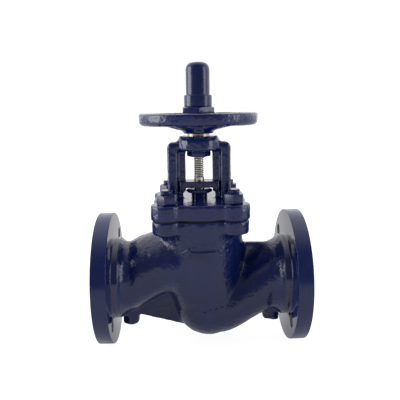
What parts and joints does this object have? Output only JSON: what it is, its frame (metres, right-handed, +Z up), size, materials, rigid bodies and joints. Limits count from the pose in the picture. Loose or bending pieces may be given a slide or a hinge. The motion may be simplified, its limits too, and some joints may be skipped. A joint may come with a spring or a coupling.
{
  "type": "globe valve",
  "caption": "Flanged globe valve with a bolted yoke bonnet, a rising threaded stem under a closed cap and a handwheel that lifts the plug off its seat.",
  "frame": {"origin": "on the floor under the valve, where the stem axis meets the plane on which the flange rims stand, 92.5 mm below the pipe axis", "axes": "+X along the pipe towards the inlet flange, +Z up along the stem towards the handwheel, -Y is the side seen from the front"},
  "size_m": [0.29, 0.185, 0.39],
  "materials": {
    "cast_paint": "glossy navy paint over rough cast iron",
    "fastener_paint": "glossy navy paint over steel",
    "cap_paint": "glossy navy paint over turned steel",
    "stem_steel": "turned steel, lightly oiled",
    "stainless": "fine turned stainless steel",
    "brass": "turned brass",
    "gasket": "dull black sheet",
    "graphite": "dull woven graphite",
    "ptfe": "smooth white"
  },
  "bodies": {
    "valve": {"body": "cast_paint", "bonnet": "cast_paint", "bonnet_gasket": "gasket", "bonnet_studs": "fastener_paint", "bonnet_nuts": "fastener_paint", "seat_ring": "stainless", "back_seat_bush": "stainless", "packing_rings": "graphite", "gland_ring": "stainless", "gland_nut": "fastener_paint", "upper_thrust_washer": "stainless"},
    "drive": {"yoke_sleeve": "brass", "lower_thrust_washer": "stainless", "lock_nut": "fastener_paint", "handwheel_key": "stem_steel", "handwheel": "cast_paint", "handwheel_nut": "fastener_paint", "cap": "cap_paint"},
    "stem": {"stem": "stem_steel", "guide": "cast_paint", "guide_screw": "fastener_paint"},
    "disc": {"plug": "stainless", "plug_seal": "ptfe", "plug_nut": "stainless"}
  },
  "joints": [
    {"name": "wheel_turn", "type": "hinge", "parent": "valve", "child": "drive", "pos_m": [0, 0, 0.2925], "axis": [0, 0, 1], "range_deg": [0, 2520]},
    {"name": "stem_lift", "type": "slide", "parent": "valve", "child": "stem", "axis": [0, 0, 1], "range_m": [0, 0.0211]},
    {"name": "plug_swivel", "type": "hinge", "parent": "stem", "child": "disc", "pos_m": [0, 0, 0.1125], "axis": [0, 0, 1], "continuous": true}
  ],
  "couplings": [
    {"joint": "stem_lift", "follows": "wheel_turn", "m_per_rad": 0.00047746}
  ]
}
